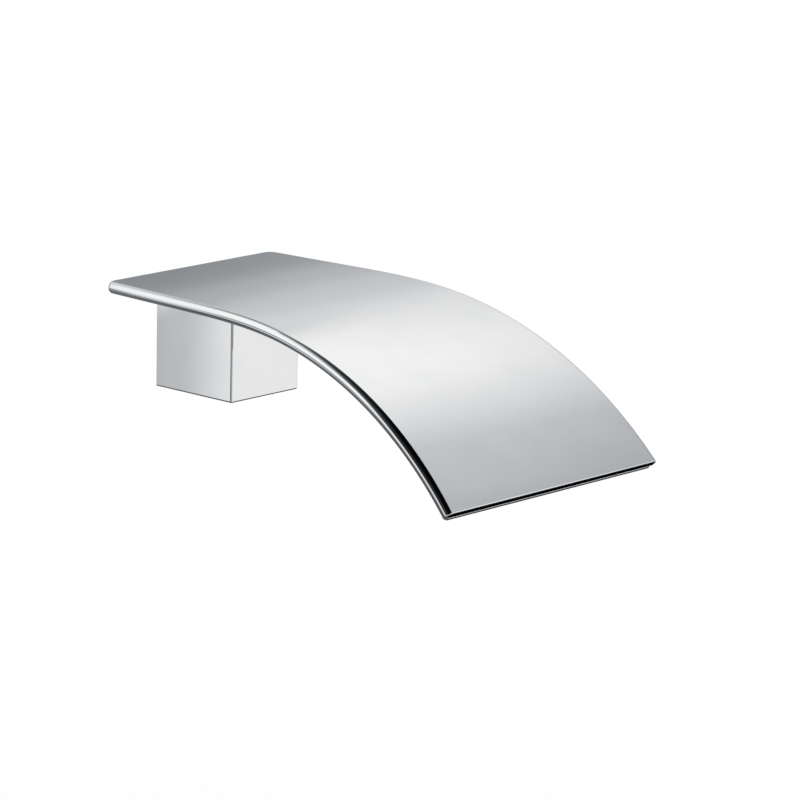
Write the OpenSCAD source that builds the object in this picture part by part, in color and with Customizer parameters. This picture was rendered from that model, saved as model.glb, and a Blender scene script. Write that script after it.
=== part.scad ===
// Waterfall bath spout for a wall: a thin, hollow, flared blade on a square block.
// Millimetres, +Z up. The origin is the centre of the threaded inlet, in the plane of the wall (Y = 0).
// The spout projects towards -Y, and X = 0 is its plane of symmetry.

/* [Blade] */
// Width of the blade at the wall
blade_back_w = 125; // [110:1:180]
// Width of the blade at its tip
blade_tip_w = 160; // [130:1:220]
// Thickness of the whole blade, whose side edges are full half-rounds
blade_t = 6; // [5:0.1:8]
// Radius of the blade's back corners, seen from above
corner_r = 3.5; // [1:0.5:6]
// Length of the flat part, from the back edge to the start of the bend
flat_l = 58; // [57:1:110]
// Length over which the bend sets in
ease_l = 70; // [60:1:110]
// Radius of the bend beyond it, at the top surface
bend_r = 218; // [160:1:400]
// Angle that the bend turns through, which must be more than its first part takes
bend_angle = 48; // [25:1:70]
// Thickness of the sheet that the top shell is pressed from
skin_t = 1.2; // [0.8:0.05:1.4]
// Thickness of the base plate under the water channel
base_t = 2; // [1.4:0.05:2.2]

/* [Block] */
// Width of the square block
block_w = 50; // [48:1:70]
// Projection of the block from the wall
block_d = 55; // [52:1:56]
// Height of the blade's underside above the centre of the inlet
inlet_drop = 27.5; // [27:0.5:40]
// Distance from the centre of the inlet down to the bottom of the block
block_below = 27.5; // [26:0.5:45]
// Wall of the block's front and sides
wall_t = 2; // [1.2:0.1:2.2]
// Thickness of the block's bottom
bottom_t = 3; // [2.8:0.1:4]
// Narrow bevel along the block's outer edges
edge_bevel = 0.4; // [0.2:0.1:1.5]
// Thickness of the plate that closes the block at the wall
back_plate_t = 4; // [3.5:0.1:5]

/* [Inlet] */
// Radius of the inlet thread at its crests, for a G1/2 pipe thread
inlet_r = 9.3; // [8:0.05:9.6]
// Length of the inlet thread
inlet_thread_l = 14; // [12:0.5:18]
// Radius of the relief behind the thread, where the washer lies
relief_r = 10.6; // [10:0.1:11]
// Outer radius of the bush that holds the thread
bush_r = 13.45; // [13.2:0.05:14]
// Radius of the collar at the mouth of the bush
collar_r = 16; // [15:0.1:16.5]
// Thickness of the collar
collar_t = 2.5; // [1.5:0.1:2.8]
// Solid end of the bush behind the washer
bush_end_t = 4; // [3:0.1:6]
// Radius of the water passage through the end of the bush
outlet_r = 6.5; // [4:0.1:6.8]
// Thickness of the washer that the supply pipe seals on
washer_t = 2; // [1:0.1:3]
// Radius of the strainer disc
strainer_r = 8; // [7.3:0.1:9]
// Thickness of the strainer disc
strainer_t = 0.6; // [0.4:0.1:1]
// Diameter of each hole in the strainer
strainer_hole_d = 1.6; // [0.8:0.1:1.9]
// Thickness of the O-ring on the bush
o_ring_d = 1.3; // [1:0.1:1.6]
// Distance from the wall to the middle of the O-ring
o_ring_y = 9.4; // [7:0.1:11]

/* [Waterway] */
// Wall of the brass casting round its chamber
casting_t = 2.5; // [1.5:0.1:2.5]
// Width of the chamber and of its port into the blade
port_w = 18; // [12:0.5:18]
// Length of the chamber and of its port into the blade
port_l = 18.5; // [12:0.5:18.5]
// Depth of the chamber below the centre of the inlet
chamber_below = 10; // [8:0.5:12]
// Thickness of the casting's two flanges
flange_t = 4; // [3.5:0.1:5]
// Thickness of the gasket between the casting and the blade
gasket_t = 1; // [0.5:0.1:1.5]
// Thickness of the perforated distributor plate
distributor_t = 0.8; // [0.5:0.1:1]
// Width of the distributor's rim, which lies under the gasket
distributor_rim = 2; // [1.5:0.1:2.2]
// Diameter of each hole in the distributor
distributor_hole_d = 2.2; // [1:0.1:2.6]
// Distance between the middles of the distributor's holes
distributor_pitch = 3.4; // [3:0.1:5]
// Distance from the front of the block to the flow guide in the channel
guide_gap = 3; // [2:0.5:4]
// Length of the flow guide, measured away from the wall
guide_l = 14; // [8:1:15]
// Number of ribs on the flow guide
guide_ribs = 17; // [5:2:25]
// Thickness of each rib of the flow guide
rib_t = 0.8; // [0.6:0.1:1.2]
// Diameter of the posts that hold the two skins apart
post_d = 3; // [2:0.1:5]
// Number of rows of posts along the bend
post_rows = 4; // [1:1:6]
// Number of posts in a row
post_columns = 3; // [1:1:5]

/* [Fasteners] */
// Diameter of the studs that hold the blade on the casting
stud_d = 4; // [3:0.1:4.2]
// Length of the studs below the blade
stud_l = 10.5; // [9.6:0.1:11]
// Distance from the wall to the middle of the back studs
stud_back_inset = 14; // [13:0.5:15]
// Distance from the inner front of the block shell to the middle of the front studs
stud_front_inset = 7.5; // [6:0.5:8]
// Distance from the side of the casting to the middle of the studs
stud_side_inset = 5.5; // [5:0.1:6]
// Width of the stud nuts across their flats
nut_flats = 7; // [5.5:0.1:7]
// Height of the stud nuts
nut_h = 3.2; // [2:0.1:3.4]
// Diameter of the washers under the nuts
stud_washer_d = 9; // [8.5:0.1:9.4]
// Thickness of the washers under the nuts
stud_washer_t = 0.8; // [0.4:0.1:1]
// Diameter of the four screws that hold the back plate
plate_screw_d = 3; // [2:0.1:3.5]
// Length of the four screws that hold the back plate
plate_screw_l = 7.5; // [6:0.1:7.8]
// Diameter of the screw that holds the block shell
shell_screw_d = 5; // [3:0.1:5.5]
// Length of the screw that holds the block shell
shell_screw_l = 12; // [9:0.1:13]

/* [Seals and clearances] */
// Inner radius of the seal against the wall
wall_seal_r = 18.2; // [17.6:0.1:18.6]
// Width of the seal against the wall
wall_seal_w = 2.6; // [1.5:0.1:3]
// Depth of the seal's groove in the back plate
wall_seal_t = 1.5; // [0.8:0.1:2]
// Clearance between pieces that seat in each other
fit_gap = 0.05; // [0.02:0.01:0.1]
// Gap along the visible seams
seam_gap = 0.1; // [0.05:0.05:0.2]
// Room between the casting and the inside of the block shell
casting_gap = 0.5; // [0.3:0.1:0.8]

/* [Hidden] */

chrome = [0.80, 0.82, 0.85];
brass = [0.78, 0.62, 0.30];
steel = [0.62, 0.64, 0.66];
rubber = [0.12, 0.12, 0.13];
acetal = [0.88, 0.88, 0.85];

// Faces on a round piece, and on a small one
round_fn = 72;
small_fn = 32;
// Straight steps along the bend, and round each half-round side edge
bend_steps = 40;
edge_steps = 10;
// Steps round the corner of a rounded opening
corner_steps = 6;
// How far a cutting shape runs past the face that it opens
cut = 1;

// Levels, from the centre of the inlet
under_z = inlet_drop;
top_z = under_z + blade_t;
block_bottom_z = -block_below;
inner_bottom_z = block_bottom_z + bottom_t;
gasket_z = under_z - gasket_t;
flange_z = gasket_z - flange_t;

// The blade along its length
edge_r = blade_t / 2;
channel_h = blade_t - skin_t - base_t;
bend_l = ease_l / 2 + bend_r * bend_angle * PI / 180;
blade_l = flat_l + bend_l;
corner_stations = [for (i = [0 : corner_steps]) corner_r * (1 - cos(90 * i / corner_steps))];
end_bar_l = corner_r + 2;
stations = concat(corner_stations, [flat_l], [for (i = [1 : bend_steps]) flat_l + bend_l * i / bend_steps]);

// Inside the block
inner_w = block_w - 2 * wall_t;
inner_front_y = -(block_d - wall_t);
plate_half_w = inner_w / 2 - seam_gap;
plate_top_z = under_z - seam_gap;
plate_bottom_z = inner_bottom_z + seam_gap;

// The inlet, from the wall inwards
washer_y = -inlet_thread_l;
strainer_y = washer_y - washer_t;
bush_end_y = strainer_y - bush_end_t;
bush_bore_r = bush_r + fit_gap;
groove_depth = o_ring_d + fit_gap;
spanner_slot_w = 4;
spanner_slot_depth = 1.2;

// The casting
boss_r = bush_bore_r + 3;
boss_end_y = bush_end_y - casting_t;
port_y = boss_end_y - port_l / 2;
port_corner_r = 3;
casting_half_w = inner_w / 2 - casting_gap;
casting_front_y = inner_front_y + casting_gap;
casting_bottom_z = inner_bottom_z + seam_gap;
rear_flange_y = -back_plate_t - flange_t;
screw_boss_r = 6;
guide_y = -(block_d + guide_gap);
guide_web_t = 0.6;

// Places of the fasteners
stud_back_y = -stud_back_inset;
stud_front_y = inner_front_y + stud_front_inset;
stud_x = casting_half_w - stud_side_inset;
stud_places = [for (x = [-stud_x, stud_x], y = [stud_back_y, stud_front_y]) [x, y]];
washer_z = flange_z - stud_washer_t;
nut_z = washer_z - nut_h;
plate_screw_inset = 4.2;
plate_screw_x = inner_w / 2 - plate_screw_inset;
plate_screw_places = [
    for (x = [-plate_screw_x, plate_screw_x],
         z = [inner_bottom_z + plate_screw_inset, under_z - plate_screw_inset - seam_gap]) [x, z]
];
shell_screw_y = port_y;

// Half width of the blade at the distance s from its back edge, along the top surface
function half_w(s) = (blade_back_w + (blade_tip_w - blade_back_w) * s / blade_l) / 2 - corner_cut(s);

// How much the rounded back corner takes off the half width
function corner_cut(s) = s >= corner_r ? 0 : corner_r - sqrt(corner_r ^ 2 - (corner_r - s) ^ 2);

// Angle of the blade, in degrees, at the distance u beyond its flat part: it grows with the square of u at
// first, and evenly once the bend has its full radius
function slope(u) = 180 / PI * (
    u <= 0 ? 0 :
    u < ease_l ? u ^ 2 / (2 * ease_l * bend_r) :
    (u - ease_l / 2) / bend_r
);

// The top surface at that distance, as [y, z]. The first part is the series of its sine and cosine.
function bend_start(u) =
    let (k = 2 * ease_l * bend_r)
    [-flat_l - u + u ^ 5 / (10 * k ^ 2), top_z - u ^ 3 / (3 * k) + u ^ 7 / (42 * k ^ 3)];

function bend_line(u) =
    u <= 0 ? [-flat_l - u, top_z] :
    u < ease_l ? bend_start(u) :
    bend_start(ease_l) + bend_r * [sin(slope(ease_l)) - sin(slope(u)), cos(slope(u)) - cos(slope(ease_l))];

// A point of the blade: x across it, s along it and depth d below its top surface
function on_blade(x, s, d) =
    let (p = bend_line(s - flat_l), a = slope(s - flat_l))
    [x, p[0] + d * sin(a), p[1] - d * cos(a)];

// The half-round of a side edge, as [x, d] from its lower end to its upper end (side is -1 or 1)
function side_arc(w, r, side) = [
    for (i = [0 : edge_steps])
        let (a = 180 * i / edge_steps)
        [side * (w - edge_r + r * sin(a)), edge_r + r * cos(a)]
];

function flipped(list) = [for (i = [len(list) - 1 : -1 : 0]) list[i]];

// The pressed top shell across the blade: a C whose lips turn under the side edges
function shell_section(w) = concat(
    side_arc(w, edge_r, -1),
    flipped(side_arc(w, edge_r, 1)),
    side_arc(w, edge_r - skin_t, 1),
    flipped(side_arc(w, edge_r - skin_t, -1))
);

// The base plate across the blade, between the lips of the shell
function base_section(w) =
    let (x = w - edge_r - seam_gap)
    [[-x, blade_t], [-x, blade_t - base_t], [x, blade_t - base_t], [x, blade_t]];

// The bar that closes the channel, with round ends that fit the inside of the shell
function bar_section(w) = concat(
    side_arc(w, edge_r - skin_t - fit_gap, -1),
    flipped(side_arc(w, edge_r - skin_t - fit_gap, 1))
);

// Corners of a rectangle with rounded corners, centred
function rounded_rectangle(w, l, r) = [
    for (corner = [[1, 1, 0], [-1, 1, 90], [-1, -1, 180], [1, -1, 270]], i = [0 : corner_steps])
        let (a = corner[2] + 90 * i / corner_steps)
        [corner[0] * (w / 2 - r) + r * cos(a), corner[1] * (l / 2 - r) + r * sin(a)]
];

// A solid through the same outline at every station: rows of points, joined by triangles.
// An open section, such as a C, goes out along its outer side and back along its inner side with as many
// points, so its ends are strips between the two.
module loft(outlines, places, open_section = false) {
    count = len(outlines[0]);
    last = len(places) - 1;
    points = [for (i = [0 : last], p = outlines[i]) on_blade(p[0], places[i], p[1])];
    sides = [
        for (i = [0 : last - 1], j = [0 : count - 1], half = [0, 1])
            let (a = i * count + j, b = i * count + (j + 1) % count)
            half == 0 ? [a, b, a + count] : [b, b + count, a + count]
    ];
    tip_end = open_section
        ? [for (j = [0 : count / 2 - 2], half = [0, 1])
            half == 0 ? [j, j + 1, count - 1 - j] : [j + 1, count - 2 - j, count - 1 - j]]
        : [[for (j = [0 : count - 1]) j]];
    back_end = [for (face = tip_end) flipped(face)];
    tip_faces = [for (face = tip_end) [for (j = face) last * count + j]];
    polyhedron(points, concat(sides, back_end, tip_faces), convexity = 6);
}

// Something round about an axis that runs into the spout from the wall, from y0 to y1
module along_y(r, y0, y1, fn = round_fn) {
    translate([0, y0, 0]) rotate([90, 0, 0]) cylinder(r = r, h = y0 - y1, $fn = fn);
}

// The opening of the port, made wider all round by grow
module port_shape(z0, z1, grow = 0) {
    translate([0, port_y, z0])
        linear_extrude(z1 - z0)
            polygon(rounded_rectangle(port_w + 2 * grow, port_l + 2 * grow, port_corner_r));
}

module countersunk_screw(d, l, fn = small_fn) {
    head_h = d / 2;
    difference() {
        union() {
            cylinder(r1 = d, r2 = d / 2, h = head_h, $fn = fn);
            cylinder(r = d / 2 - fit_gap, h = l, $fn = fn);
        }
        translate([0, 0, -cut]) cylinder(r = d * 0.35, h = head_h * 0.9 + cut, $fn = 6);
    }
}

// The hole that such a screw sinks into, flush with the face at z = 0
module countersunk_hole(d, l, fn = small_fn) {
    rim = seam_gap;
    translate([0, 0, -cut]) cylinder(r = d + rim, h = cut + rim, $fn = fn);
    translate([0, 0, rim]) cylinder(r1 = d + rim, r2 = d / 2 + rim, h = d / 2, $fn = fn);
    cylinder(r = d / 2 + rim, h = l, $fn = fn);
}

// Blade

module blade_top_shell() {
    color(chrome) loft([for (s = stations) shell_section(half_w(s))], stations, open_section = true);
}

module blade_base_plate() {
    color(chrome) difference() {
        loft([for (s = stations) base_section(half_w(s))], stations);
        port_shape(under_z - cut, under_z + base_t + cut, seam_gap);
    }
}

module channel_end_bar() {
    floor_w = 2 * half_w(end_bar_l);
    places = concat(corner_stations, [end_bar_l]);
    color(brass) difference() {
        loft([for (s = places) bar_section(half_w(s))], places);
        translate([-floor_w / 2, -end_bar_l - cut, under_z - cut])
            cube([floor_w, end_bar_l + 2 * cut, base_t + fit_gap + cut]);
    }
}

module flow_guide() {
    rib_h = channel_h - 3 * fit_gap;
    reach = half_w(-guide_y) - blade_t;
    flare_angle = atan((blade_tip_w - blade_back_w) / 2 / blade_l);
    color(acetal) translate([0, guide_y, under_z + base_t + fit_gap]) {
        translate([-reach, -guide_l * 0.6, 0]) cube([2 * reach, guide_l * 0.2, guide_web_t]);
        for (i = [0 : guide_ribs - 1]) {
            share = 2 * i / (guide_ribs - 1) - 1;
            translate([share * (reach - rib_t), 0, 0])
                rotate([0, 0, share * flare_angle])
                    translate([-rib_t / 2, -guide_l, 0]) cube([rib_t, guide_l, rib_h]);
        }
    }
}

module channel_posts() {
    color(brass)
        for (row = [0 : post_rows - 1], column = [0 : post_columns - 1]) {
            s = flat_l + bend_l * (row + 0.5) / post_rows;
            x = half_w(s) * (2 * (column + 0.5) / post_columns - 1);
            translate(on_blade(x, s, skin_t + channel_h / 2))
                rotate([slope(s - flat_l), 0, 0])
                    cylinder(d = post_d, h = channel_h - 2 * fit_gap, center = true, $fn = small_fn);
        }
}

module blade_studs() {
    color(brass)
        for (p = stud_places)
            translate([p[0], p[1], under_z - stud_l])
                cylinder(r = stud_d / 2 - fit_gap, h = stud_l, $fn = small_fn);
}

module stud_washers() {
    color(steel)
        for (p = stud_places)
            translate([p[0], p[1], washer_z]) difference() {
                cylinder(d = stud_washer_d, h = stud_washer_t, $fn = small_fn);
                translate([0, 0, -cut])
                    cylinder(r = stud_d / 2 + seam_gap, h = stud_washer_t + 2 * cut, $fn = small_fn);
            }
}

module stud_nuts() {
    color(steel)
        for (p = stud_places)
            translate([p[0], p[1], nut_z]) difference() {
                cylinder(r = nut_flats / sqrt(3), h = nut_h, $fn = 6);
                translate([0, 0, -cut]) cylinder(r = stud_d / 2, h = nut_h + 2 * cut, $fn = small_fn);
            }
}

// Waterway

module port_gasket() {
    edge = casting_gap;
    color(rubber) difference() {
        translate([-casting_half_w + edge, casting_front_y + edge, gasket_z])
            cube([2 * (casting_half_w - edge), -back_plate_t - seam_gap - casting_front_y - edge, gasket_t]);
        port_shape(gasket_z - cut, under_z + cut, seam_gap);
        for (p = stud_places)
            translate([p[0], p[1], gasket_z - cut])
                cylinder(r = stud_d / 2 + 3 * seam_gap, h = gasket_t + 2 * cut, $fn = small_fn);
    }
}

module distributor_plate() {
    columns = floor((port_w - distributor_hole_d) / distributor_pitch);
    rows = floor((port_l - distributor_hole_d) / distributor_pitch);
    color(steel) difference() {
        port_shape(gasket_z - distributor_t, gasket_z - fit_gap, distributor_rim - fit_gap);
        for (i = [0 : columns], j = [0 : rows])
            translate([(i - columns / 2) * distributor_pitch,
                       port_y + (j - rows / 2) * distributor_pitch,
                       gasket_z - distributor_t - cut])
                cylinder(d = distributor_hole_d, h = distributor_t + 2 * cut, $fn = small_fn);
    }
}

module waterway_casting() {
    chamber_z = -chamber_below;
    body_z = chamber_z - casting_t;
    color(brass) difference() {
        union() {
            translate([-casting_half_w, casting_front_y, flange_z])
                cube([2 * casting_half_w, -back_plate_t - casting_front_y, flange_t]);
            translate([-casting_half_w, rear_flange_y, casting_bottom_z])
                cube([2 * casting_half_w, flange_t, gasket_z - casting_bottom_z]);
            along_y(boss_r, -back_plate_t, boss_end_y);
            translate([-port_w / 2 - casting_t, port_y - port_l / 2 - casting_t, body_z])
                cube([port_w + 2 * casting_t, port_l + 2 * casting_t, gasket_z - body_z]);
            translate([0, shell_screw_y, inner_bottom_z])
                cylinder(r = screw_boss_r, h = body_z - inner_bottom_z + cut, $fn = round_fn);
        }
        along_y(bush_bore_r, cut, bush_end_y);
        along_y(outlet_r, cut, port_y);
        port_shape(chamber_z, under_z);
        port_shape(gasket_z - distributor_t, under_z, distributor_rim);
        for (p = stud_places)
            translate([p[0], p[1], flange_z - cut])
                cylinder(r = stud_d / 2 + 2 * seam_gap, h = flange_t + 2 * cut, $fn = small_fn);
        for (p = plate_screw_places)
            translate([p[0], 0, p[1]]) along_y(plate_screw_d / 2, cut, rear_flange_y - cut, small_fn);
        translate([0, shell_screw_y, block_bottom_z])
            cylinder(r = shell_screw_d / 2, h = shell_screw_l + cut, $fn = small_fn);
    }
}

module inlet_bush() {
    color(brass) difference() {
        union() {
            along_y(collar_r, 0, -collar_t);
            along_y(bush_r, 0, bush_end_y);
        }
        along_y(inlet_r, cut, washer_y);
        along_y(relief_r, washer_y, strainer_y);
        along_y(strainer_r + fit_gap, washer_y, strainer_y - strainer_t);
        along_y(outlet_r, cut, bush_end_y - cut);
        difference() {
            along_y(bush_r + cut, -o_ring_y + groove_depth / 2 + fit_gap, -o_ring_y - groove_depth / 2 - fit_gap);
            along_y(bush_r - groove_depth, 0, bush_end_y);
        }
        for (side = [-1, 1])
            translate([side * collar_r, 0, 0])
                cube([2 * (collar_r - relief_r) - 1, 2 * spanner_slot_depth, spanner_slot_w], center = true);
    }
}

module inlet_o_ring() {
    color(rubber) translate([0, -o_ring_y, 0]) rotate([90, 0, 0])
        rotate_extrude($fn = round_fn)
            translate([bush_r - groove_depth / 2, 0]) circle(d = o_ring_d, $fn = small_fn);
}

module inlet_washer() {
    color(rubber) difference() {
        along_y(relief_r - fit_gap, washer_y - fit_gap, strainer_y);
        along_y(outlet_r, cut, bush_end_y);
    }
}

module inlet_strainer() {
    color(steel) difference() {
        along_y(strainer_r, strainer_y - fit_gap, strainer_y - strainer_t);
        for (ring = [0 : 2], i = [0 : max(0, 6 * ring - 1)]) {
            a = 60 * i / max(1, ring);
            r = ring * outlet_r * 0.38;
            translate([r * cos(a), 0, r * sin(a)])
                along_y(strainer_hole_d / 2, cut, bush_end_y, small_fn);
        }
    }
}

// Block

module back_plate() {
    color(steel) difference() {
        translate([-plate_half_w, -back_plate_t, plate_bottom_z])
            cube([2 * plate_half_w, back_plate_t, plate_top_z - plate_bottom_z]);
        along_y(collar_r + fit_gap, cut, -collar_t);
        along_y(bush_bore_r, cut, -back_plate_t - cut);
        difference() {
            along_y(wall_seal_r + wall_seal_w, cut, -wall_seal_t);
            along_y(wall_seal_r, 2 * cut, -back_plate_t);
        }
        for (p = plate_screw_places)
            translate([p[0], 0, p[1]]) rotate([90, 0, 0]) countersunk_hole(plate_screw_d, back_plate_t + cut);
    }
}

module back_plate_screws() {
    color(steel)
        for (p = plate_screw_places)
            translate([p[0], -seam_gap, p[1]]) rotate([90, 0, 0])
                countersunk_screw(plate_screw_d, plate_screw_l);
}

module wall_seal() {
    color(rubber) difference() {
        along_y(wall_seal_r + wall_seal_w - fit_gap, 0, -wall_seal_t);
        along_y(wall_seal_r + fit_gap, cut, -wall_seal_t - cut);
    }
}

module block_shell() {
    half = block_w / 2;
    height = under_z - block_bottom_z;
    color(chrome) difference() {
        intersection() {
            // From above: the two upright front edges are bevelled
            translate([0, 0, block_bottom_z]) linear_extrude(height)
                polygon([
                    [-half, 0], [-half, -block_d + edge_bevel], [-half + edge_bevel, -block_d],
                    [half - edge_bevel, -block_d], [half, -block_d + edge_bevel], [half, 0]
                ]);
            // From the front: the bottom edges of the sides are bevelled
            rotate([90, 0, 0]) linear_extrude(block_d)
                polygon([
                    [-half, under_z], [-half, block_bottom_z + edge_bevel],
                    [-half + edge_bevel, block_bottom_z], [half - edge_bevel, block_bottom_z],
                    [half, block_bottom_z + edge_bevel], [half, under_z]
                ]);
            // From the side: the bottom edge of the front is bevelled
            rotate([90, 0, -90]) translate([0, 0, -half]) linear_extrude(block_w)
                polygon([
                    [0, under_z], [0, block_bottom_z], [block_d - edge_bevel, block_bottom_z],
                    [block_d, block_bottom_z + edge_bevel], [block_d, under_z]
                ]);
        }
        translate([-inner_w / 2, inner_front_y, inner_bottom_z])
            cube([inner_w, block_d, height]);
        translate([0, shell_screw_y, block_bottom_z]) countersunk_hole(shell_screw_d, bottom_t + cut);
    }
}

module shell_screw() {
    color(steel) translate([0, shell_screw_y, block_bottom_z + seam_gap])
        countersunk_screw(shell_screw_d, shell_screw_l - cut);
}

blade_top_shell();
blade_base_plate();
channel_end_bar();
flow_guide();
channel_posts();
blade_studs();
stud_washers();
stud_nuts();
port_gasket();
distributor_plate();
waterway_casting();
inlet_bush();
inlet_o_ring();
inlet_washer();
inlet_strainer();
back_plate();
back_plate_screws();
wall_seal();
block_shell();
shell_screw();
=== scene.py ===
import math
import bmesh
import bpy
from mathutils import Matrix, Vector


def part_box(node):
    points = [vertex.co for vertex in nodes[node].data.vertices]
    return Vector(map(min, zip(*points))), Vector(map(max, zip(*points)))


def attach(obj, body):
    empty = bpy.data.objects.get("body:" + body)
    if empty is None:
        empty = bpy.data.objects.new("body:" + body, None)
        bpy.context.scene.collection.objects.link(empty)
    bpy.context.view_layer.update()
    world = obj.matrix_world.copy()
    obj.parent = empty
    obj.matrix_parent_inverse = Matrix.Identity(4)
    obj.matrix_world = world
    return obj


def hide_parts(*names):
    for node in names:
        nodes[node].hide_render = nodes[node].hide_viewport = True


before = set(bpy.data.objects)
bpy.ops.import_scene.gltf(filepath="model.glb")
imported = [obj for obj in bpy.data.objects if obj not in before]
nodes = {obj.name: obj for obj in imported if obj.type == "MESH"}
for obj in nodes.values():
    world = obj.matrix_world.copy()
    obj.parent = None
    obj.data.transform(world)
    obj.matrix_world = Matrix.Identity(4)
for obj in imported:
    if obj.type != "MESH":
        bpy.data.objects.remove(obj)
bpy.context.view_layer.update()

mm = 0.001
rightAngle = math.pi / 2
onFace = 0.05 * mm  # how near a point has to be to a face to count as lying on it
facing = 0.9  # how far a normal has to point along an axis to count as facing that way


def pickPiece(piece):
    bpy.ops.object.select_all(action="DESELECT")
    piece.select_set(True)
    bpy.context.view_layer.objects.active = piece


def openPiece(piece):
    # In edit mode, with all of it selected
    pickPiece(piece)
    bpy.ops.object.mode_set(mode="EDIT")
    bpy.ops.mesh.select_mode(type="VERT")
    selectAll()


def startMesh(name, addPrimitive, **settings):
    bpy.ops.object.select_all(action="DESELECT")
    addPrimitive(**settings)
    piece = bpy.context.object
    piece.name = name
    piece.data.name = name
    openPiece(piece)
    return piece


def closePiece(piece):
    # Back to object mode, with all modifiers applied and the piece at the origin
    bpy.ops.object.mode_set(mode="OBJECT")
    pickPiece(piece)
    for modifier in list(piece.modifiers):
        bpy.ops.object.modifier_apply(modifier=modifier.name)
    bpy.ops.object.transform_apply(location=True, rotation=True, scale=True)


def selectAll():
    bpy.ops.mesh.select_all(action="SELECT")


def select(piece, mesh, chosen):
    for element in chosen:
        element.select = True
    mesh.select_flush_mode()
    bmesh.update_edit_mesh(piece.data)


def pick(piece, kind, wanted):
    # Selects the vertices, edges or faces that wanted says yes to, and nothing else
    bpy.ops.mesh.select_mode(type=kind)
    bpy.ops.mesh.select_all(action="DESELECT")
    mesh = bmesh.from_edit_mesh(piece.data)
    elements = {"VERT": mesh.verts, "EDGE": mesh.edges, "FACE": mesh.faces}[kind]
    select(piece, mesh, [element for element in elements if wanted(element)])


def move(x=0, y=0, z=0):
    bpy.ops.transform.translate(value=(x, y, z))


def stretch(x=1, y=1, z=1, centre=(0, 0, 0)):
    bpy.ops.transform.resize(value=(x, y, z), center_override=centre)


def turn(angle, axis, centre=(0, 0, 0)):
    bpy.ops.transform.rotate(value=angle, orient_axis=axis, center_override=centre)


def faceOutwards():
    selectAll()
    bpy.ops.mesh.normals_make_consistent(inside=False)


def roundPicked(offset, segments):
    bpy.ops.mesh.bevel(offset=offset, segments=segments, affect="EDGES", clamp_overlap=True)


def giveWall(piece, thickness):
    # The wall grows inwards, and the piece is open for editing again afterwards
    wall = piece.modifiers.new("wall", "SOLIDIFY")
    wall.thickness = thickness
    wall.offset = -1
    wall.use_even_offset = True
    closePiece(piece)
    openPiece(piece)


def cutAway(piece, cutter):
    closePiece(cutter)
    bite = piece.modifiers.new("bite", "BOOLEAN")
    bite.operation = "DIFFERENCE"
    bite.solver = "EXACT"
    bite.object = cutter
    closePiece(piece)
    bpy.data.objects.remove(cutter)


def smoothByAngle(piece, degrees):
    pickPiece(piece)
    bpy.ops.object.shade_smooth_by_angle(angle=math.radians(degrees), keep_sharp_edges=True)


def standFor(piece, node):
    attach(piece, "root")
    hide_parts(node)


# The blade's own line is the one of the CAD source: flat, then easing into one even bend
blade = {
    "backWidth": 125 * mm, "tipWidth": 160 * mm, "thickness": 6 * mm, "cornerRadius": 3.5 * mm,
    "flatLength": 58 * mm, "easeLength": 70 * mm, "bendRadius": 218 * mm, "bendAngle": 48,
    "topHeight": 33.5 * mm, "skin": 1.2 * mm, "base": 2 * mm, "seam": 0.1 * mm,
    "cornerRows": 6, "flatRows": 3, "bendRows": 64, "edgeSides": 40,
    # A short last row and a narrow strip beside each edge keep the shading of the top flat
    "lastRow": 0.8 * mm, "edgeStrip": 0.8 * mm,
    "upperLipBack": 0.5 * mm,  # how far the upper lip of the slot stands behind the lower one
    "upperLipRounding": 0.52 * mm, "lowerLipRounding": 0.16 * mm, "lowerLipUnderside": 0.15 * mm,
    "lipSteps": 4, "undersideSteps": 2,
    "sharpAngle": 50, "smoothAngle": 40,
}
bendLength = blade["easeLength"] / 2 + blade["bendRadius"] * math.radians(blade["bendAngle"])
bladeLength = blade["flatLength"] + bendLength


def bladeSlope(s):
    u = s - blade["flatLength"]
    if u <= 0:
        return 0.0
    if u < blade["easeLength"]:
        return u * u / (2 * blade["easeLength"] * blade["bendRadius"])
    return (u - blade["easeLength"] / 2) / blade["bendRadius"]


def bladeHalfWidth(s):
    cut = 0.0
    r = blade["cornerRadius"]
    if s < r:
        cut = r - math.sqrt(max(0.0, r * r - (r - s) ** 2))
    return (blade["backWidth"] + (blade["tipWidth"] - blade["backWidth"]) * s / bladeLength) / 2 - cut


def bladeRows(end):
    # Places of the rows along the blade, close together round the back corners
    r, flat, bend = blade["cornerRadius"], blade["flatLength"], end - blade["flatLength"]
    rows = [r * (1 - math.cos(rightAngle * i / blade["cornerRows"])) for i in range(blade["cornerRows"] + 1)]
    rows += [r + (flat - r) * (i + 1) / blade["flatRows"] for i in range(blade["flatRows"])]
    rows += [flat + bend * (i + 1) / blade["bendRows"] for i in range(blade["bendRows"])]
    return rows[:-1] + [end - blade["lastRow"], end]


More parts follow.
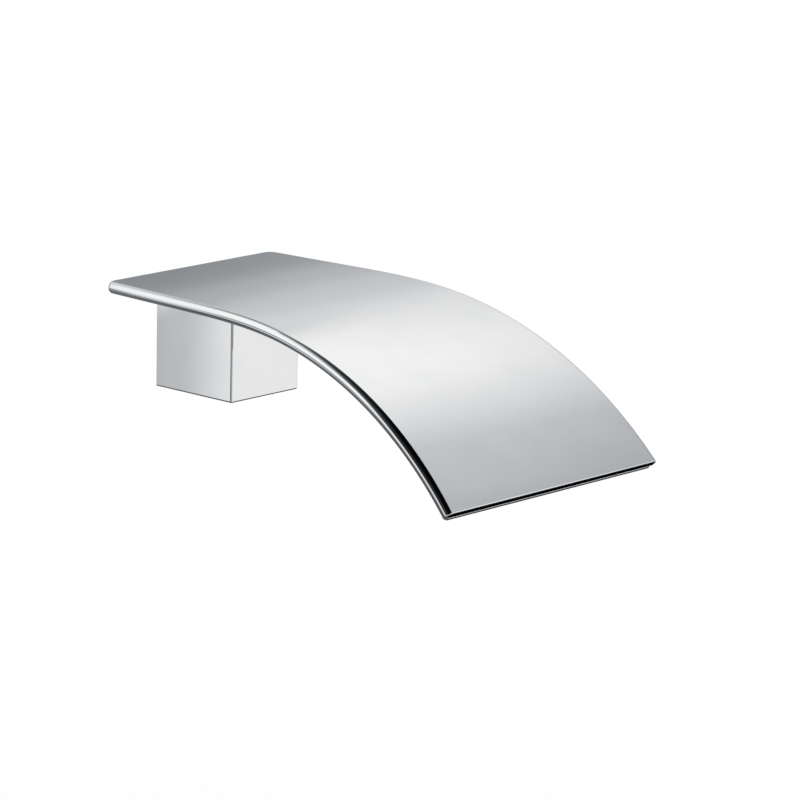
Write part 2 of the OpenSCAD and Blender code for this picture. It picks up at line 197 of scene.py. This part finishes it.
def drawAlongBlade(piece, rows):
    # The selected cross-section is extruded row by row, widened, and turned about its top line.
    # The answer is a function that gives how far a point lies before the tip and below the tip's top.
    y, z = 0.0, blade["topHeight"]
    turned = 0.0
    for before, here in zip(rows, rows[1:]):
        lean = bladeSlope((before + here) / 2)
        dy, dz = (before - here) * math.cos(lean), (before - here) * math.sin(lean)
        bpy.ops.mesh.extrude_region_move(TRANSFORM_OT_translate={"value": (0, dy, dz)})
        y, z = y + dy, z + dz
        wider = bladeHalfWidth(here) - bladeHalfWidth(before)
        mesh = bmesh.from_edit_mesh(piece.data)
        row = [vert for vert in mesh.verts if vert.select]
        for side in (-1, 1):
            for vert in mesh.verts:
                vert.select = False
            select(piece, mesh, [vert for vert in row if vert.co.x * side > 0])
            move(x=side * wider)
        select(piece, mesh, row)
        more = bladeSlope(here) - turned
        if more > 0:
            turn(-more, "X", (0, y, z))
            turned += more
    along, down = math.cos(turned), math.sin(turned)

    def fromTip(co):
        return (co.y - y) * along + (co.z - z) * down, (co.y - y) * down - (co.z - z) * along

    return fromTip


def roundLip(piece, offset, segments, wanted):
    # wanted is asked with the places of a sharp edge's two ends
    sharp = math.radians(blade["sharpAngle"])
    pick(piece, "EDGE", lambda edge: edge.is_manifold and edge.calc_face_angle() > sharp
         and wanted(edge.verts[0].co, edge.verts[1].co))
    roundPicked(offset, segments)


def makeBladeShell():
    # A circle pulled apart into a slot shape and opened below, then drawn out and bent
    r = blade["thickness"] / 2
    sides = blade["edgeSides"]
    flatHalf = bladeHalfWidth(0) - r
    middle = blade["topHeight"] - r
    piece = startMesh("bladeShell", bpy.ops.mesh.primitive_circle_add, vertices=sides,
                      radius=r / math.cos(math.pi / sides), fill_type="NOTHING", location=(0, 0, 0))
    turn(math.pi / sides, "Z")
    turn(rightAngle, "X")
    move(z=middle)
    for side in (-1, 1):
        pick(piece, "VERT", lambda vert: vert.co.x * side > 0)
        move(x=side * flatHalf)

    def crosses(edge, above):
        start, end = edge.verts[0].co, edge.verts[1].co
        return start.x * end.x < 0 and (start.z > middle) == above

    pick(piece, "EDGE", lambda edge: crosses(edge, False))
    bpy.ops.mesh.delete(type="EDGE")
    pick(piece, "EDGE", lambda edge: crosses(edge, True))
    bpy.ops.mesh.subdivide(number_cuts=2)
    # The two new points stand at a third of the flat, and go out to the strips beside the edges
    for side in (-1, 1):
        pick(piece, "VERT", lambda vert: 0 < vert.co.x * side < flatHalf / 2 and vert.co.z > middle)
        move(x=side * (flatHalf * 2 / 3 - blade["edgeStrip"]))
    selectAll()
    fromTip = drawAlongBlade(piece, bladeRows(bladeLength - blade["upperLipBack"]))
    faceOutwards()
    giveWall(piece, blade["skin"])
    roundLip(piece, blade["upperLipRounding"], blade["lipSteps"],
             lambda a, b: max(abs(fromTip(a)[0]), abs(fromTip(b)[0])) < onFace)
    closePiece(piece)
    smoothByAngle(piece, blade["smoothAngle"])
    return piece


def makeBladeBase():
    # A strip drawn along the same line, inside the shell's turned-under edges
    inset = blade["thickness"] / 2 + blade["seam"]
    piece = startMesh("bladeBase", bpy.ops.mesh.primitive_plane_add, size=2, location=(0, 0, 0))
    stretch(bladeHalfWidth(0) - inset, blade["base"] / 2)
    turn(rightAngle, "X")
    move(z=blade["topHeight"] - blade["thickness"] + blade["base"] / 2)
    fromTip = drawAlongBlade(piece, bladeRows(bladeLength))
    faceOutwards()
    middle = blade["thickness"] - blade["base"] / 2

    def onTip(a, b, upper):
        (endA, depthA), (endB, depthB) = fromTip(a), fromTip(b)
        return max(abs(endA), abs(endB), abs(depthA - depthB)) < onFace and (depthA < middle) == upper

    roundLip(piece, blade["lowerLipRounding"], blade["lipSteps"], lambda a, b: onTip(a, b, True))
    roundLip(piece, blade["lowerLipUnderside"], blade["undersideSteps"], lambda a, b: onTip(a, b, False))
    closePiece(piece)
    smoothByAngle(piece, blade["smoothAngle"])
    return piece


print("blade: shell and base")
bladeShell = makeBladeShell()
bladeBase = makeBladeBase()
standFor(bladeShell, "blade_top_shell")
standFor(bladeBase, "blade_base_plate")

block = {
    "width": 50 * mm, "depth": 55 * mm, "top": 27.5 * mm, "bottom": -27.5 * mm,
    "wall": 2 * mm, "floor": 3 * mm, "rounding": 1.0 * mm, "roundingSteps": 6,
    "screwHole": 2.6 * mm, "screwHead": 5.2 * mm, "headDepth": 2.6 * mm, "holeSides": 64,
    "cutterBelow": 0.1 * mm,  # how far the cutter of the hole starts below the block
    "smoothAngle": 30, "flatWeight": 100,
}


def makeBlockCover():
    # A cube without its back and top, given a wall and rounded along its outer edges
    half = block["width"] / 2
    piece = startMesh("blockCover", bpy.ops.mesh.primitive_cube_add, size=1, location=(0, 0, 0))
    stretch(block["width"], block["depth"], block["top"] - block["bottom"])
    move(y=-block["depth"] / 2, z=(block["top"] + block["bottom"]) / 2)
    pick(piece, "FACE", lambda face: max(face.normal.y, face.normal.z) > facing)
    bpy.ops.mesh.delete(type="FACE")
    giveWall(piece, block["wall"])
    inside = block["bottom"] + block["wall"]
    pick(piece, "FACE",
         lambda face: face.normal.z > facing and abs(face.calc_center_median().z - inside) < onFace)
    move(z=block["floor"] - block["wall"])

    def outerSides(edge):
        co = (edge.verts[0].co + edge.verts[1].co) / 2
        return (abs(co.x) > half - onFace) + (co.y < onFace - block["depth"]) + (co.z < onFace + block["bottom"])

    pick(piece, "EDGE", lambda edge: outerSides(edge) == 2)
    roundPicked(block["rounding"], block["roundingSteps"])
    closePiece(piece)
    # Countersunk hole for the screw in the floor
    low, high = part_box("shell_screw")
    height = block["bottom"] - block["cutterBelow"] + block["headDepth"] / 2
    cutter = startMesh("cutter", bpy.ops.mesh.primitive_cone_add, vertices=block["holeSides"],
                       radius1=block["screwHead"], radius2=block["screwHole"], depth=block["headDepth"],
                       location=((low[0] + high[0]) / 2, (low[1] + high[1]) / 2, height))
    pick(cutter, "FACE", lambda face: face.normal.z > facing)
    bpy.ops.mesh.extrude_region_move(TRANSFORM_OT_translate={"value": (0, 0, 2 * block["floor"])})
    cutAway(piece, cutter)
    smoothByAngle(piece, block["smoothAngle"])
    # Keeps the big faces flat beside their rounded edges
    flat = piece.modifiers.new("flat", "WEIGHTED_NORMAL")
    flat.keep_sharp = True
    flat.weight = block["flatWeight"]
    closePiece(piece)
    return piece


print("block: cover")
blockCover = makeBlockCover()
standFor(blockCover, "block_shell")

inlet = {
    "bore": 9.3 * mm, "root": 10.45 * mm, "pitch": 1.814 * mm, "turns": 8, "stepsPerTurn": 48,
    "flankAngle": 27.5, "rootFlat": 0.2 * mm,
    "startOutside": 0.9 * mm,  # the first turn starts in front of the mouth
    "insideBore": 0.25 * mm,  # how far the cutters reach in past the bore
    "mouth": 10.9 * mm, "mouthOutside": 0.3 * mm, "mouthSides": 72,
    "mergeWithin": 0.001 * mm, "smoothAngle": 25,
}


def makeGroove(inner):
    # The space between two crests of the thread, wound into a closed coil
    middle = (inlet["root"] + inner) / 2
    halfRoot = inlet["rootFlat"] / 2
    halfMouth = halfRoot + (inlet["root"] - inner) * math.tan(math.radians(inlet["flankAngle"]))
    groove = startMesh("groove", bpy.ops.mesh.primitive_plane_add, size=2, location=(0, 0, 0))
    stretch((inlet["root"] - inner) / 2, halfMouth)
    move(middle, inlet["startOutside"])
    pick(groove, "VERT", lambda vert: vert.co.x > middle)
    stretch(y=halfRoot / halfMouth, centre=(0, inlet["startOutside"], 0))
    selectAll()
    bpy.ops.mesh.delete(type="ONLY_FACE")
    winding = groove.modifiers.new("winding", "SCREW")
    winding.axis = "Y"
    winding.angle = 2 * math.pi
    winding.screw_offset = -inlet["pitch"]
    winding.iterations = inlet["turns"]
    winding.steps = inlet["stepsPerTurn"]
    winding.render_steps = inlet["stepsPerTurn"]
    winding.use_normal_calculate = True
    closePiece(groove)
    openPiece(groove)
    bpy.ops.mesh.fill_holes(sides=4)
    faceOutwards()
    return groove


def makeInletBush():
    # The CAD bush with its pipe thread cut in and its mouth chamfered
    piece = bpy.data.objects.new("inletBush", nodes["inlet_bush"].data.copy())
    bpy.context.scene.collection.objects.link(piece)
    openPiece(piece)
    bpy.ops.mesh.remove_doubles(threshold=inlet["mergeWithin"])
    closePiece(piece)
    bpy.ops.mesh.customdata_custom_splitnormals_clear()
    inner = inlet["bore"] - inlet["insideBore"]
    cutAway(piece, makeGroove(inner))
    depth = inlet["mouth"] - inner
    chamfer = startMesh("chamfer", bpy.ops.mesh.primitive_cone_add, vertices=inlet["mouthSides"],
                        radius1=inlet["mouth"], radius2=inner, depth=depth, location=(0, 0, 0))
    # Laid along the bore, then turned over, which brings the wide end of the cone to the mouth
    turn(rightAngle, "X")
    turn(math.pi, "X")
    move(y=inlet["mouthOutside"] - depth / 2)
    cutAway(piece, chamfer)
    smoothByAngle(piece, inlet["smoothAngle"])
    return piece


print("inlet: bush with its thread")
inletBush = makeInletBush()
standFor(inletBush, "inlet_bush")


class Wire:
    # A socket that can be counted with
    def __init__(self, finish, socket):
        self.finish = finish
        self.socket = socket

    def maths(self, operation, other, swapped=False):
        first, second = (other, self) if swapped else (self, other)
        return self.finish.add("ShaderNodeMath", {"operation": operation}, {0: first, 1: second})

    def __add__(self, other):
        return self.maths("ADD", other)

    def __radd__(self, other):
        return self.maths("ADD", other, True)

    def __sub__(self, other):
        return self.maths("SUBTRACT", other)

    def __rsub__(self, other):
        return self.maths("SUBTRACT", other, True)

    def __mul__(self, other):
        return self.maths("MULTIPLY", other)

    def __rmul__(self, other):
        return self.maths("MULTIPLY", other, True)

    def __truediv__(self, other):
        return self.maths("DIVIDE", other)

    def __pow__(self, other):
        return self.maths("POWER", other)


class Finish:
    # A material or world that is put together node by node
    def __init__(self, name, world=False):
        self.block = bpy.data.worlds.new(name) if world else bpy.data.materials.new(name)
        self.output = "ShaderNodeOutputWorld" if world else "ShaderNodeOutputMaterial"
        self.block.use_nodes = True
        self.tree = self.block.node_tree
        self.tree.nodes.clear()

    def add(self, kind, settings=None, inputs=None, output=0):
        node = self.tree.nodes.new(kind)
        for key, value in (settings or {}).items():
            if key == "stops":
                self.setStops(node.color_ramp.elements, value)
            else:
                setattr(node, key, value)
        for key, value in (inputs or {}).items():
            if isinstance(value, Wire):
                self.tree.links.new(value.socket, node.inputs[key])
            else:
                node.inputs[key].default_value = value
        return Wire(self, node.outputs[output])

    def setStops(self, elements, stops):
        # A stop's tone is a grey or a colour
        while len(elements) < len(stops):
            elements.new(0.5)
        for element, (place, tone) in zip(elements, stops):
            element.position = place
            element.color = (*tone, 1) if isinstance(tone, tuple) else (tone, tone, tone, 1)

    def place(self):
        return self.add("ShaderNodeTexCoord", output="Object")

    def split(self, vector):
        sockets = self.add("ShaderNodeSeparateXYZ", {}, {0: vector}).socket.node.outputs
        return [Wire(self, socket) for socket in sockets]

    def noise(self, place, scale, detail=2, stretched=(1, 1, 1)):
        drawn = self.add("ShaderNodeMapping", {}, {"Vector": place, "Scale": stretched})
        return self.add("ShaderNodeTexNoise", {}, {"Vector": drawn, "Scale": scale, "Detail": detail})

    def mixColours(self, share, first, second):
        colours = {0: share, 6: (*first, 1), 7: (*second, 1)}
        return self.add("ShaderNodeMix", {"data_type": "RGBA"}, colours, output=2)

    def between(self, wire, start, end):
        # 0 up to start and 1 from end on, in whichever direction that is
        limits = {0: wire, 1: start, 2: end, 3: 0.0, 4: 1.0}
        return self.add("ShaderNodeMapRange", {"interpolation_type": "SMOOTHSTEP"}, limits)

    def cover(self, colour, roughness, height, bump, metallic=1.0):
        # Bump is the strength and the depth in metres that the height is given
        strength, depth = bump
        normal = self.add("ShaderNodeBump", {}, {"Height": height, "Strength": strength, "Distance": depth})
        return self.finishWith(self.add("ShaderNodeBsdfPrincipled", {}, {
            "Base Color": colour, "Metallic": metallic, "Roughness": roughness, "Normal": normal}))

    def finishWith(self, shader):
        out = self.tree.nodes.new(self.output)
        self.tree.links.new(shader.socket, out.inputs["Surface"])
        return self.block


# In all finishes "edges" are the noise values between which a mark comes in, "rougher" is what the grain
# adds to the roughness, and "bump" is a strength and a depth
chrome = {
    "colour": (0.80, 0.81, 0.83), "shade": (0.775, 0.79, 0.815), "roughness": 0.012,
    "haze": 45, "hazeDetail": 3, "hazeEdges": (0.35, 0.75), "hazeRougher": 0.014,
    "wiping": 700, "wipingDetail": 3, "wipingStretched": (1, 0.04, 1), "wipingEdges": (0.55, 0.75),
    "wipingRougher": 0.012,
    "buffing": 16, "buffingDetail": 1, "bump": (0.015, 0.2 * mm),
}


def polishedChrome():
    # Mirror plate: a thin haze, the marks of wiping along the spout, and the slight unevenness of buffing
    look = Finish("polishedChrome")
    place = look.place()
    haze = look.noise(place, chrome["haze"], chrome["hazeDetail"])
    streaks = look.noise(place, chrome["wiping"], chrome["wipingDetail"], chrome["wipingStretched"])
    wiping = look.between(streaks, *chrome["wipingEdges"])
    buffing = look.noise(place, chrome["buffing"], chrome["buffingDetail"])
    colour = look.mixColours(look.between(haze, *chrome["hazeEdges"]), chrome["colour"], chrome["shade"])
    roughness = haze * chrome["hazeRougher"] + wiping * chrome["wipingRougher"] + chrome["roughness"]
    return look.cover(colour, roughness, buffing, chrome["bump"])


brass = {"colour": (0.72, 0.56, 0.27), "dull": (0.50, 0.36, 0.16)}
cast = {
    "patches": 160, "patchDetail": 3, "edges": (0.4, 0.75), "grain": 1600, "grainDetail": 4,
    "roughness": 0.36, "rougher": 0.2, "bump": (0.5, 0.15 * mm),
}
turning = {
    "stain": 220, "stainDetail": 3, "edges": (0.5, 0.8), "stainShare": 0.6, "rings": 5200, "ringDetail": 2,
    "roughness": 0.2, "rougher": 0.18, "bump": (0.25, 0.05 * mm),
}


def castBrass():
    # Sand-cast skin, with duller patches
    look = Finish("castBrass")
    place = look.place()
    patches = look.between(look.noise(place, cast["patches"], cast["patchDetail"]), *cast["edges"])
    grain = look.noise(place, cast["grain"], cast["grainDetail"])
    colour = look.mixColours(patches, brass["colour"], brass["dull"])
    return look.cover(colour, grain * cast["rougher"] + cast["roughness"], grain, cast["bump"])


def turnedBrass():
    # Fine rings about the axis of the inlet, left by the lathe
    look = Finish("turnedBrass")
    place = look.place()
    x, y, z = look.split(place)
    radius = (x * x + z * z) ** 0.5
    rings = look.add("ShaderNodeTexNoise", {"noise_dimensions": "1D"},
                     {"W": radius + y, "Scale": turning["rings"], "Detail": turning["ringDetail"]})
    stain = look.between(look.noise(place, turning["stain"], turning["stainDetail"]), *turning["edges"])
    colour = look.mixColours(stain * turning["stainShare"], brass["colour"], brass["dull"])
    return look.cover(colour, rings * turning["rougher"] + turning["roughness"], rings, turning["bump"])


steel = {"colour": (0.60, 0.61, 0.62), "dark": (0.50, 0.51, 0.525)}
brushing = {
    "lines": 2600, "lineDetail": 3, "stretched": (0.03, 1, 1), "lineShare": 0.6, "cloud": 90, "cloudShare": 0.3,
    "roughness": 0.24, "rougher": 0.2, "bump": (0.2, 0.04 * mm),
}
machining = {"grain": 3000, "cloud": 400, "roughness": 0.2, "rougher": 0.15, "bump": (0.1, 0.02 * mm)}


def brushedSteel():
    # Brushed across the spout
    look = Finish("brushedSteel")
    place = look.place()
    lines = look.noise(place, brushing["lines"], brushing["lineDetail"], brushing["stretched"])
    cloud = look.noise(place, brushing["cloud"])
    share = lines * brushing["lineShare"] + cloud * brushing["cloudShare"]
    colour = look.mixColours(share, steel["colour"], steel["dark"])
    return look.cover(colour, lines * brushing["rougher"] + brushing["roughness"], lines, brushing["bump"])


def machinedSteel():
    # Screws, nuts and washers: bright, with a fine even grain
    look = Finish("machinedSteel")
    place = look.place()
    grain = look.noise(place, machining["grain"])
    colour = look.mixColours(look.noise(place, machining["cloud"]), steel["colour"], steel["dark"])
    return look.cover(colour, grain * machining["rougher"] + machining["roughness"], grain, machining["bump"])


rubber = {
    "colour": (0.028, 0.028, 0.03), "greyed": (0.06, 0.06, 0.062), "bloom": 260, "bloomDetail": 4,
    "edges": (0.45, 0.8), "grain": 2400, "roughness": 0.55, "rougher": 0.2, "bump": (0.3, 0.05 * mm),
}


def mouldedRubber():
    # Matt black, with a grey bloom in places
    look = Finish("mouldedRubber")
    place = look.place()
    bloom = look.between(look.noise(place, rubber["bloom"], rubber["bloomDetail"]), *rubber["edges"])
    grain = look.noise(place, rubber["grain"])
    colour = look.mixColours(bloom, rubber["colour"], rubber["greyed"])
    return look.cover(colour, grain * rubber["rougher"] + rubber["roughness"], grain, rubber["bump"], 0.0)


acetal = {
    "colour": (0.82, 0.82, 0.78), "streak": (0.76, 0.76, 0.71), "flow": 120, "flowDetail": 3,
    "stretched": (1, 0.2, 1), "grain": 2000, "roughness": 0.35, "rougher": 0.1, "bump": (0.15, 0.03 * mm),
}


def mouldedAcetal():
    # Off-white, slightly waxy, with faint flow marks
    look = Finish("mouldedAcetal")
    place = look.place()
    flow = look.noise(place, acetal["flow"], acetal["flowDetail"], acetal["stretched"])
    grain = look.noise(place, acetal["grain"])
    colour = look.mixColours(flow, acetal["colour"], acetal["streak"])
    return look.cover(colour, grain * acetal["rougher"] + acetal["roughness"], grain, acetal["bump"], 0.0)


def dress(piece, material):
    piece.data.materials.clear()
    piece.data.materials.append(material)


print("finishes")
finishes = {
    polishedChrome: [bladeShell, bladeBase, blockCover],
    castBrass: [nodes["waterway_casting"]],
    turnedBrass: [inletBush, nodes["channel_end_bar"], nodes["channel_posts"], nodes["blade_studs"]],
    brushedSteel: [nodes["back_plate"], nodes["distributor_plate"], nodes["inlet_strainer"]],
    machinedSteel: [nodes["stud_washers"], nodes["stud_nuts"], nodes["back_plate_screws"], nodes["shell_screw"]],
    mouldedRubber: [nodes["port_gasket"], nodes["inlet_o_ring"], nodes["inlet_washer"], nodes["wall_seal"]],
    mouldedAcetal: [nodes["flow_guide"]],
}
for makeFinish, wearers in finishes.items():
    material = makeFinish()
    for wearer in wearers:
        dress(wearer, material)

# The spout stands in a box of lit cloth that only mirror reflections see. All else is lit by a plain white room.
studio = {
    "left": -0.80, "right": 0.70, "front": -0.90, "back": 0.35, "top": 0.80, "bottom": -0.40,
    "floorHeight": -0.42, "floorSize": 24.0,
}
# Tones of the cloth, each with its place along one axis
tones = {
    # By height, behind and right of the spout, then behind and left of it
    "riseRight": [(-0.02, 0.45), (0.09, 0.38), (0.12, 0.31), (0.14, 0.345), (0.146, 0.385), (0.1495, 0.44),
                  (0.153, 0.48), (0.157, 0.50), (0.161, 0.512), (0.166, 0.525), (0.178, 0.57), (0.208, 0.62),
                  (0.242, 0.68), (0.284, 0.75), (0.34, 0.825), (0.46, 0.935), (0.54, 1.02), (0.62, 1.09),
                  (0.80, 1.09)],
    "riseLeft": [(-0.02, 0.78), (0.04, 0.95), (0.12, 1.08), (0.30, 1.15), (0.60, 1.15), (0.80, 0.85)],
    # Fall of the right wall towards the front
    "fallRight": [(-0.90, 0.53), (-0.60, 0.53), (-0.55, 0.54), (-0.50, 0.57), (-0.43, 0.59), (-0.40, 0.60),
                  (-0.30, 0.635), (-0.20, 0.76), (-0.10, 0.87), (0.0, 0.96), (0.10, 1.0), (0.35, 1.0)],
    # Dim gap between the two lit cloths, high on the back
    "gap": [(-0.80, 1.0), (-0.10, 1.0), (0.03, 0.56), (0.15, 0.38), (0.25, 0.28), (0.36, 0.34), (0.43, 0.52),
            (0.50, 0.78), (0.60, 1.0), (0.70, 1.0)],
    # Foot of the back, from left to right
    "backFoot": [(-0.80, 0.55), (-0.70, 0.48), (-0.62, 0.30), (-0.56, 0.32), (-0.50, 0.45), (-0.48, 0.97),
                 (-0.46, 1.05), (-0.434, 0.90), (-0.42, 0.785), (-0.41, 0.70), (-0.40, 0.635), (-0.38, 0.60),
                 (-0.35, 0.50), (-0.28, 0.35), (-0.18, 0.20), (0.10, 0.16), (0.22, 0.12), (0.70, 0.12)],
    # Between the foot of the back and the lit cloth above it
    "skirt": [(-0.80, 0.45), (-0.60, 0.30), (-0.50, 0.30), (-0.44, 0.33), (-0.42, 0.60), (-0.38, 0.80),
              (-0.35, 0.70), (-0.30, 0.50), (-0.20, 0.30), (0.10, 0.20), (0.70, 0.05)],
    "ceiling": [(-0.90, 0.0), (-0.30, 0.004), (-0.10, 0.03), (0.05, 0.08), (0.15, 0.22), (0.25, 0.42), (0.35, 0.62)],
    "mat": [(-0.90, 0.8), (-0.55, 0.5), (-0.30, 0.16), (0.35, 0.16)],
}
# Lower edge of the lit cloth: its height from left to right on the back, and on the other walls
hem = {
    "back": [(-0.80, 0.06), (-0.71, 0.065), (-0.635, 0.07), (-0.48, 0.06), (-0.43, 0.015), (-0.38, -0.01),
             (0.70, -0.015)],
    "elsewhere": -0.02, "softness": 0.03,
    "lift": 0.1,  # a ramp holds nothing below 0, so the heights are lifted while they are in one
}
# Dim cloth is a little blue and bright cloth a little warm
tint = [(0.0, (0.90, 0.95, 1.0)), (0.33, (0.92, 0.965, 1.0)), (0.6, (0.975, 0.985, 1.0)), (1.0, (1.0, 0.99, 0.968))]
# Where one tone passes into another: from the first place to the second, along each axis named
passes = {
    "walls": {"x": (0.08, -0.30)},
    "gap": {"z": (0.28, 0.46)},
    "sideways": {"x": (0.30, 0.48)}, "aboveSideways": {"z": (0.18, 0.26)},
    "leftSlant": {"z": (0.10, 0.28)}, "leftLow": {"z": (0.26, 0.12), "y": (-0.13, -0.22)},
    "nearFront": {"y": (-0.58, -0.68), "z": (0.60, 0.45)},
    "front": {"x": (-0.35, 0.0), "z": (0.75, 0.30)},
    "skirt": {"z": (-0.10, -0.085)},
    "rightFoot": {"y": (0.20, 0.0)}, "rightFootLit": {"y": (0.0, -0.35)},
    "frontFoot": {"x": (-0.70, -0.30)}, "frontFootLit": {"x": (-0.10, 0.30)},
    "leftFoot": {"y": (0.05, 0.20)}, "leftFootLit": {"y": (-0.08, -0.30)},
    "ceiling": {"x": (0.10, -0.45)},
    "darkMat": {"x": (0.10, 0.25), "y": (-0.35, -0.20)},
}
# The tones at the two ends of a pass, or the one at its far end
levels = {
    "sideways": (0.93, 1.07), "left": (0.03, 1), "leftLow": 0.8, "nearFront": 1.0, "front": 0.9,
    "rightFoot": 0.35, "rightFootLit": 1, "frontFoot": 0.6, "frontFootLit": 1, "leftFoot": 0.2, "leftFootLit": 0.55,
    "ceiling": (0.4, 1.5), "darkMat": 0.01,
}
leftEdge = {"start": (0.02, 0.20), "slant": 0.22}  # of the left lit cloth, which starts further forward at its foot
# Darker patches on the foot of the back
footPatches = [
    (0.17, {"z": (-0.17, -0.26), "x": (0.10, 0.0)}),
    (0.10, {"z": (-0.168, -0.20), "x": (-0.38, -0.42)}),
    (0.06, {"z": (-0.25, -0.28), "x": (-0.16, -0.22)}),
]
wallEdge = (0.02, 0.01)  # a wall's tone comes in between these distances from it


def blend(first, second, share):
    return first + (second - first) * share


class Cloth:
    # The material of the tent while it is put together, with its three axes at hand
    def __init__(self):
        self.look = Finish("tentCloth")
        self.axes = dict(zip("xyz", self.look.split(self.look.place())))

    def toneAlong(self, axis, stops):
        # A ramp whose stops are given by their places along the axis
        low, high = stops[0][0], stops[-1][0]
        share = (self.axes[axis] - low) / (high - low)
        stops = [((place - low) / (high - low), tone) for place, tone in stops]
        ramp = self.look.add("ShaderNodeValToRGB", {"stops": stops}, {0: share})
        return self.look.add("ShaderNodeRGBToBW", {}, {0: ramp})

    def past(self, name):
        return self.pastAll(passes[name])

    def pastAll(self, places):
        # How far all these places are passed, from 0 to 1
        steps = [self.look.between(self.axes[axis], *limits) for axis, limits in places.items()]
        return math.prod(steps[1:], start=steps[0])

    def on(self, side):
        # 1 on that side of the tent and 0 on the others
        axis = {"left": "x", "front": "y", "back": "y", "bottom": "z", "top": "z"}[side]
        inwards = -1 if side in ("back", "top") else 1
        return self.pastAll({axis: [studio[side] + distance * inwards for distance in wallEdge]})


def litWalls(cloth):
    sideways = blend(*levels["sideways"], cloth.past("sideways"))
    right = cloth.toneAlong("z", tones["riseRight"]) * cloth.toneAlong("y", tones["fallRight"])
    right = right * blend(1, cloth.toneAlong("x", tones["gap"]), cloth.past("gap"))
    right = right * blend(sideways, 1, cloth.past("aboveSideways"))
    slanted = cloth.axes["y"] + leftEdge["slant"] * (1 - cloth.past("leftSlant"))
    lit = blend(cloth.look.between(slanted, *leftEdge["start"]), levels["leftLow"], cloth.past("leftLow"))
    left = cloth.toneAlong("z", tones["riseLeft"]) * blend(*levels["left"], lit)
    walls = blend(right, left, cloth.past("walls"))
    walls = blend(walls, levels["nearFront"], cloth.past("nearFront"))
    # The front cloth is lit in the middle and dark beside the camera
    return blend(walls, levels["front"] * cloth.past("front"), cloth.on("front"))


def footOfWalls(cloth):
    back = cloth.toneAlong("x", tones["backFoot"])
    for tone, places in footPatches:
        back = blend(back, tone, cloth.pastAll(places))
    back = blend(back, cloth.toneAlong("x", tones["skirt"]), cloth.past("skirt"))
    right, front, left = [
        blend(levels[foot] * cloth.past(foot), levels[foot + "Lit"], cloth.past(foot + "Lit"))
        for foot in ("rightFoot", "frontFoot", "leftFoot")]
    return blend(blend(blend(right, front, cloth.on("front")), left, cloth.on("left")), back, cloth.on("back"))


def tentCloth():
    cloth = Cloth()
    look = cloth.look
    lifted = cloth.toneAlong("x", [(place, height + hem["lift"]) for place, height in hem["back"]])
    aboveHem = cloth.axes["z"] - blend(hem["elsewhere"], lifted - hem["lift"], cloth.on("back"))
    light = blend(footOfWalls(cloth), litWalls(cloth), look.between(aboveHem, -hem["softness"], hem["softness"]))
    ceiling = cloth.toneAlong("y", tones["ceiling"]) * blend(*levels["ceiling"], cloth.past("ceiling"))
    light = blend(light, ceiling, cloth.on("top"))
    mat = blend(cloth.toneAlong("y", tones["mat"]), levels["darkMat"], cloth.past("darkMat"))
    light = blend(light, mat, cloth.on("bottom"))
    tinted = look.add("ShaderNodeValToRGB", {"stops": tint}, {0: light})
    shining = look.add("ShaderNodeVectorMath", {"operation": "SCALE"}, {0: tinted, "Scale": light})
    return look.finishWith(look.add("ShaderNodeEmission", {}, {"Color": shining, "Strength": 1.0}))


def makeTent():
    piece = startMesh("tent", bpy.ops.mesh.primitive_cube_add, size=1, location=(0, 0, 0))
    low = (studio["left"], studio["front"], studio["bottom"])
    high = (studio["right"], studio["back"], studio["top"])
    stretch(*[b - a for a, b in zip(low, high)])
    move(*[(a + b) / 2 for a, b in zip(low, high)])
    bpy.ops.mesh.flip_normals()
    closePiece(piece)
    dress(piece, tentCloth())
    for sight in ("camera", "diffuse", "shadow", "transmission", "volume_scatter"):
        setattr(piece, "visible_" + sight, False)


def makeFloor():
    # White, and open to view from below
    piece = startMesh("floor", bpy.ops.mesh.primitive_plane_add, size=studio["floorSize"],
                      location=(0, 0, studio["floorHeight"]))
    closePiece(piece)
    look = Finish("paleFloor")
    fromBelow = look.add("ShaderNodeNewGeometry", output="Backfacing")
    white = look.add("ShaderNodeBsdfDiffuse", {}, {"Color": (1, 1, 1, 1)})
    clear = look.add("ShaderNodeBsdfTransparent")
    dress(piece, look.finishWith(look.add("ShaderNodeMixShader", {}, {0: fromBelow, 1: white, 2: clear})))


def makeRoom():
    look = Finish("whiteRoom", world=True)
    white = look.add("ShaderNodeBackground", {}, {"Color": (1, 1, 1, 1), "Strength": 1.0})
    bpy.context.scene.world = look.finishWith(white)


print("studio")
makeTent()
makeFloor()
makeRoom()
bpy.context.scene.view_settings.view_transform = "Standard"

camera = {
    "place": (-1.672603, -1.652284, 0.508381), "turned": (76.93629, -1.23556, -47.78096),
    "lens": 204.751, "sensor": 36, "sight": 100,
}


def placeCamera():
    data = bpy.data.cameras.new("camera")
    data.lens = camera["lens"]
    data.sensor_width = camera["sensor"]
    data.clip_end = camera["sight"]
    piece = bpy.data.objects.new("camera", data)
    bpy.context.scene.collection.objects.link(piece)
    piece.location = camera["place"]
    piece.rotation_euler = [math.radians(angle) for angle in camera["turned"]]
    bpy.context.scene.camera = piece


print("camera")
placeCamera()
